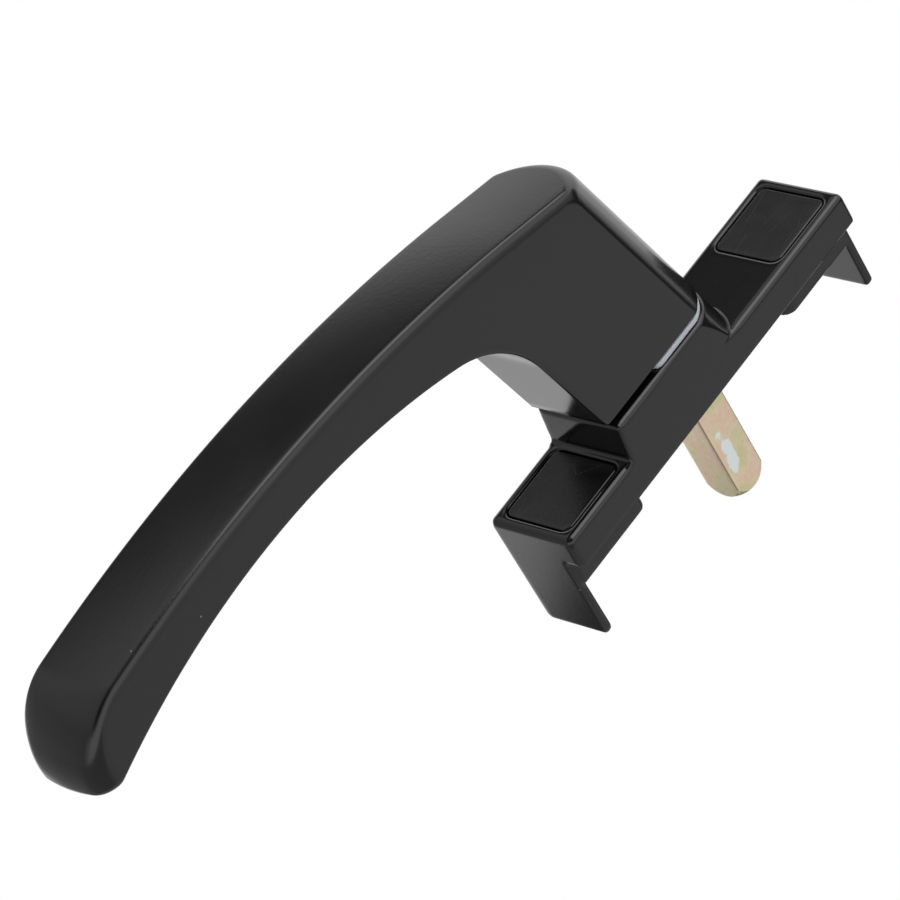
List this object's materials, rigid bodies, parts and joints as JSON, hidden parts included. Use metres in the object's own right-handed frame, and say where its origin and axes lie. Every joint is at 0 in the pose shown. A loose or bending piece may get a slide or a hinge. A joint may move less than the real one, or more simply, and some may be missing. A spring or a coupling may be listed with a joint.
{
  "type": "window handle",
  "caption": "Black window handle: a long bowed lever on a leaning neck turns on a narrow oblong base and drives a square spindle that works the window's lock.",
  "frame": {"origin": "spindle axis in the mounting plane, midway between the two fixing holes", "axes": "+Z out of the window, along the spindle; -X along the closed lever; -Y the front side in the picture"},
  "size_m": [0.1632, 0.0176, 0.0857],
  "materials": {
    "black_coat": "semi-gloss black powder coat on die-cast alloy",
    "cap_black": "satin black plastic",
    "grey_plastic": "pale grey acetal",
    "yellow_zinc": "yellow iridescent zinc plating, worn silver in places",
    "plated_steel": "bright zinc plating",
    "bare_steel": "oiled bright steel"
  },
  "bodies": {
    "base": {"base": "black_coat", "bearing_bush": "grey_plastic", "lower_detent_spring": "bare_steel", "upper_detent_spring": "bare_steel", "cover_plate": "plated_steel", "lower_plate_screw": "plated_steel", "upper_plate_screw": "plated_steel", "lower_screw_cap": "cap_black", "upper_screw_cap": "cap_black"},
    "lever": {"lever": "black_coat", "spindle": "yellow_zinc", "spindle_pin": "bare_steel", "index_cam": "bare_steel", "thrust_washer": "bare_steel", "snap_ring": "bare_steel"}
  },
  "joints": [
    {"name": "lever_turn", "type": "hinge", "parent": "base", "child": "lever", "pos_m": [0, 0, 0], "axis": [0, 0, 1], "range_deg": [-90, 90], "deforming": ["lower_detent_spring", "upper_detent_spring"]}
  ]
}
